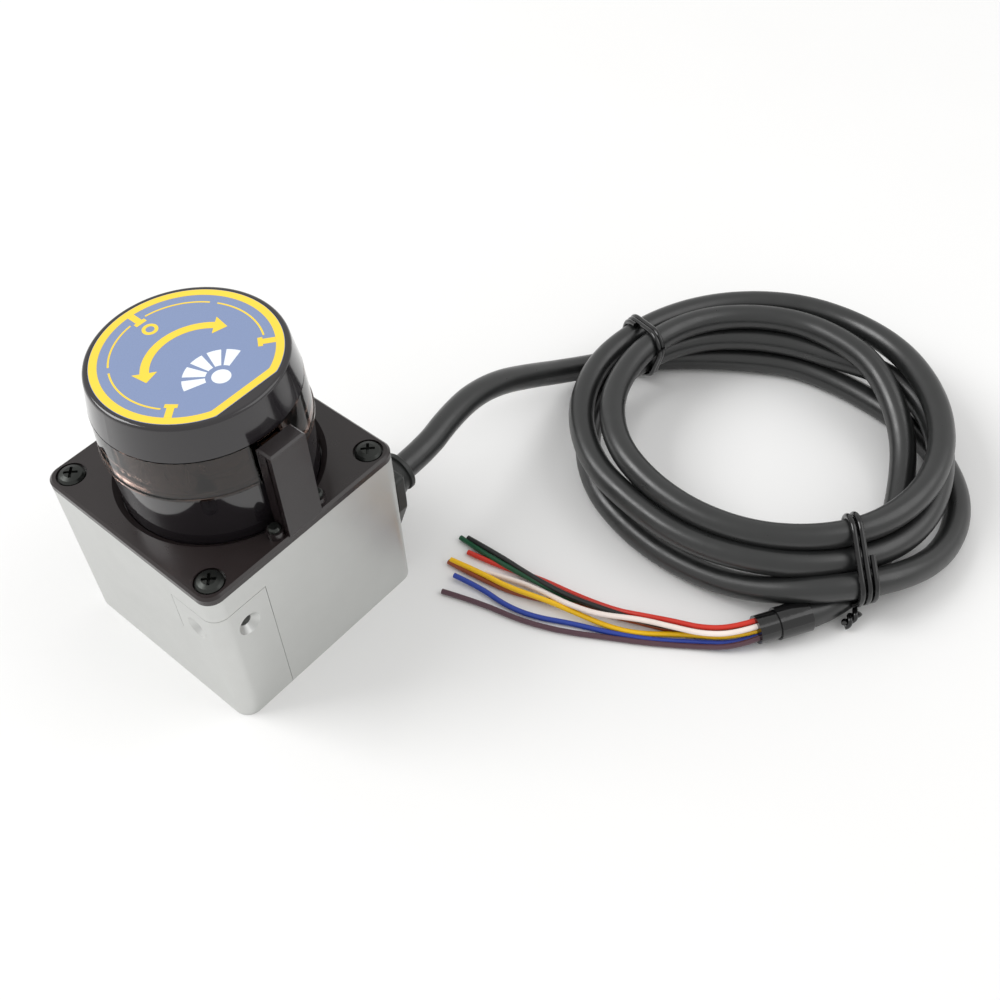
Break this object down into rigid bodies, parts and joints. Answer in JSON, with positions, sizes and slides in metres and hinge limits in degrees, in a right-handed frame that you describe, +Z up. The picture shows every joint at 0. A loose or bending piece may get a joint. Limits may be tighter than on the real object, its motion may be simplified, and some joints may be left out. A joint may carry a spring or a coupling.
{
  "type": "lidar scanner module",
  "caption": "Compact scanning laser rangefinder: square metal housing, round infrared window and cap, internal spinning mirror, rear wire post and a coiled signal cable with bare leads.",
  "frame": {"origin": "centre of the housing's square bottom face, which rests on the floor", "axes": "+Z up along the scan axis, -Y towards the scan front, +Y towards the rear post, -X towards the cable exit"},
  "size_m": [0.1707, 0.1421, 0.07],
  "materials": {
    "housing_metal": "satin machined",
    "base_metal": "satin machined",
    "screw_steel": "zinc plated",
    "black_plate": "satin black",
    "black_screw": "black oxide",
    "gloss_black": "gloss moulded",
    "rubber_black": "soft",
    "ir_window": "dark infrared-passing plastic",
    "cap_black": "gloss moulded",
    "label_print": "printed film",
    "post_black": "satin moulded",
    "circuit_board": "solder mask",
    "chip_black": "moulded package",
    "spacer_brass": "turned",
    "connector_plastic": "natural nylon",
    "cable_jacket": "matte jacket",
    "inner_metal": "machined",
    "turned_steel": "turned",
    "bearing_steel": "ground",
    "rotor_plastic": "moulded",
    "magnet_dark": "sintered",
    "core_iron": "laminated",
    "copper_winding": "enamelled wire",
    "encoder_steel": "etched",
    "lens_glass": "polished",
    "mirror_coat": "coated",
    "flex_film": "polyimide film",
    "relief_rubber": "satin moulded",
    "tie_plastic": "coated wire",
    "sleeve_shrink": "shrink sleeve",
    "lead_black": "wire insulation",
    "lead_green": "wire insulation",
    "lead_red": "wire insulation",
    "lead_white": "wire insulation",
    "lead_yellow": "wire insulation",
    "lead_brown": "wire insulation",
    "lead_blue": "wire insulation",
    "lead_violet": "wire insulation"
  },
  "bodies": {
    "scanner_body": {"housing": "housing_metal", "corner_block": "housing_metal", "base_cover": "base_metal", "base_screws": "screw_steel", "top_plate": "black_plate", "top_screws": "black_screw", "dome_skirt": "gloss_black", "skirt_gasket": "rubber_black", "optical_window": "ir_window", "top_cap": "cap_black", "cap_label": "label_print", "post_duct": "post_black", "post_cover": "post_black", "post_screws": "black_screw", "power_board": "circuit_board", "main_board": "circuit_board", "board_chips": "chip_black", "board_spacers": "spacer_brass", "cable_connector": "connector_plastic", "inner_harness": "cable_jacket", "motor_chassis": "inner_metal", "chassis_screws": "screw_steel", "bearing_tube": "turned_steel", "stator_core": "core_iron", "stator_coils": "copper_winding", "encoder_sensor": "chip_black", "receiver_board": "circuit_board", "photodiode": "chip_black", "receive_lens": "lens_glass", "emitter_board": "circuit_board", "laser_diode": "spacer_brass", "collimator_barrel": "turned_steel", "collimator_lens": "lens_glass", "emitter_flex": "flex_film", "strain_relief_flange": "relief_rubber", "strain_relief_boot": "relief_rubber", "signal_cable": "cable_jacket", "cable_coil": "cable_jacket", "cable_tail": "cable_jacket", "upper_tie": "tie_plastic", "lower_tie": "tie_plastic", "end_sleeve": "sleeve_shrink", "lead_black": "lead_black", "lead_green": "lead_green", "lead_red": "lead_red", "lead_white": "lead_white", "lead_yellow": "lead_yellow", "lead_brown": "lead_brown", "lead_blue": "lead_blue", "lead_violet": "lead_violet"},
    "scan_rotor": {"mirror_turret": "rotor_plastic", "receive_mirror": "mirror_coat", "emit_mirror": "mirror_coat", "rotor_hub": "rotor_plastic", "rotor_magnet": "magnet_dark", "lower_bearing": "bearing_steel", "upper_bearing": "bearing_steel", "encoder_disc": "encoder_steel"}
  },
  "joints": [
    {"name": "scan_spin", "type": "hinge", "parent": "scanner_body", "child": "scan_rotor", "pos_m": [0, 0, 0], "axis": [0, 0, 1], "continuous": true}
  ]
}
